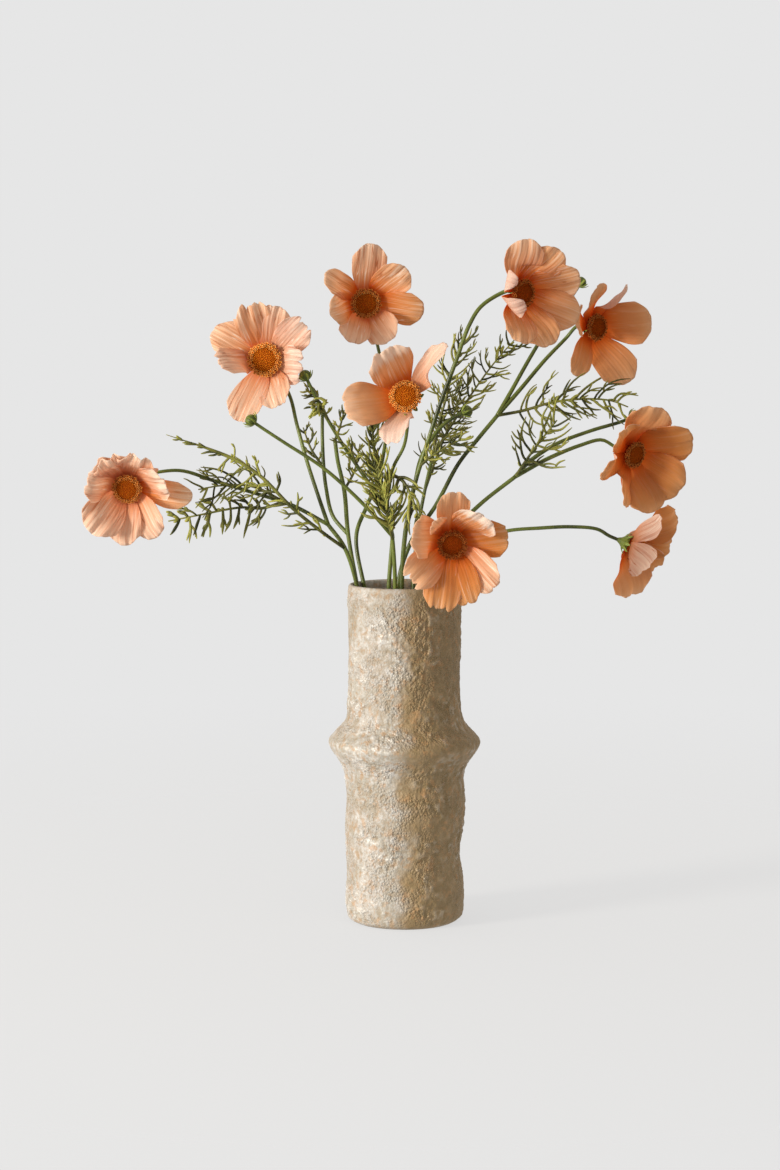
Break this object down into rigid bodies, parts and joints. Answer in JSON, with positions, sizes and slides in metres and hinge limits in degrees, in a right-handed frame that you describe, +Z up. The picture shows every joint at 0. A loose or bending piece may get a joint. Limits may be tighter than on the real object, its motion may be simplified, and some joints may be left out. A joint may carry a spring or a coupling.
{
  "type": "cosmos bouquet in a vase",
  "caption": "Loose bouquet of peach cosmos with buds and feathery leaves, standing in water in a tall hand-thrown stoneware vase with a raised collar.",
  "frame": {"origin": "centre of the vase's foot, on the surface it stands on", "axes": "+Z up along the vase, -Y towards the side that most blooms face, +X to the right seen from there"},
  "size_m": [0.4582, 0.2035, 0.5219],
  "materials": {
    "stoneware": "matte",
    "water": "gloss",
    "green": "satin",
    "petal": "matte",
    "florets": "matte"
  },
  "bodies": {
    "root": {"vase": "stoneware", "water": "water", "stem_left": "green", "stem_leafy": "green", "stem_top": "green", "stem_middle": "green", "stem_buds": "green", "stem_top_right": "green", "stem_back_right": "green", "stem_right": "green", "stem_low_right": "green", "stem_front": "green", "stem_feathery": "green", "petals_left": "petal", "disc_left": "florets", "petals_upper_left": "petal", "disc_upper_left": "florets", "petals_top": "petal", "disc_top": "florets", "petals_middle": "petal", "disc_middle": "florets", "petals_top_right": "petal", "disc_top_right": "florets", "petals_back_right": "petal", "disc_back_right": "florets", "petals_right": "petal", "disc_right": "florets", "petals_low_right": "petal", "disc_low_right": "florets", "petals_front": "petal", "disc_front": "florets"}
  },
  "joints": []
}
